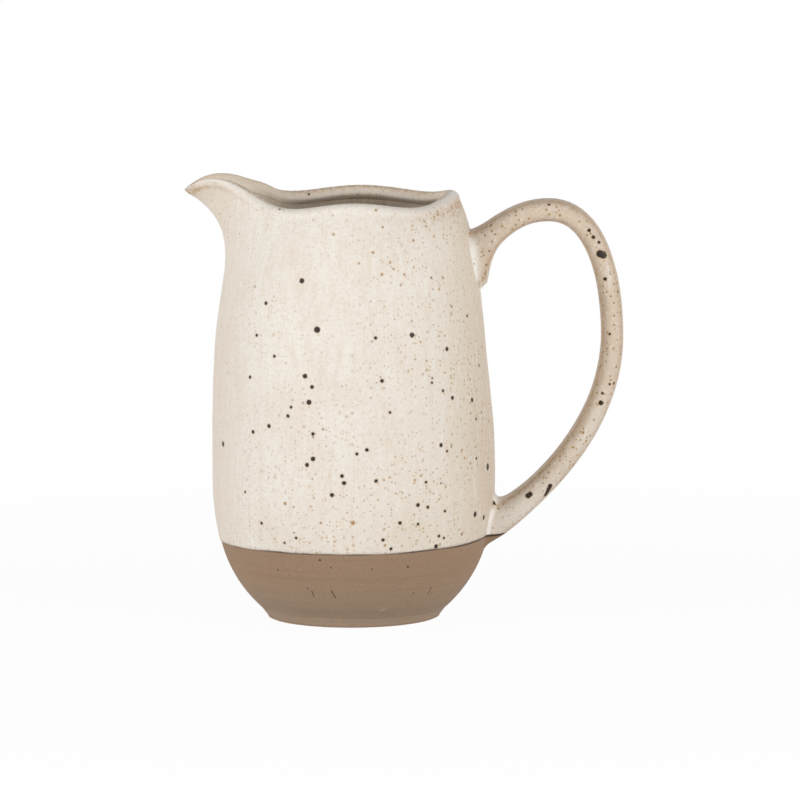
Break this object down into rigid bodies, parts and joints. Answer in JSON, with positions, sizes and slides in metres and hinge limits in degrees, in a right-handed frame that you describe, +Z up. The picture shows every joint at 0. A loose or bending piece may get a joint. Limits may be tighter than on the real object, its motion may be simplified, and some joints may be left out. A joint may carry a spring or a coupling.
{
  "type": "water jug",
  "caption": "Thrown stoneware water jug with a pulled spout, a strap handle, a low foot ring and a cream glaze that stops above a bare clay base",
  "frame": {"origin": "on the standing plane, under the middle of the whole jug between the spout's tip and the handle's outer side", "axes": "+Z up, spout towards -X, handle towards +X, +Y across the jug"},
  "size_m": [0.1812, 0.1178, 0.1845],
  "materials": {
    "stoneware": "bare matte stoneware clay",
    "cream_glaze": "satin cream glaze with iron specks",
    "inside_glaze": "satin cream glaze"
  },
  "bodies": {
    "root": {"clay_body": "stoneware", "foot_ring": "stoneware", "handle": "stoneware", "upper_joint_coil": "cream_glaze", "lower_joint_coil": "cream_glaze", "outer_glaze": "cream_glaze", "handle_glaze": "cream_glaze", "liner_glaze": "inside_glaze"}
  },
  "joints": []
}
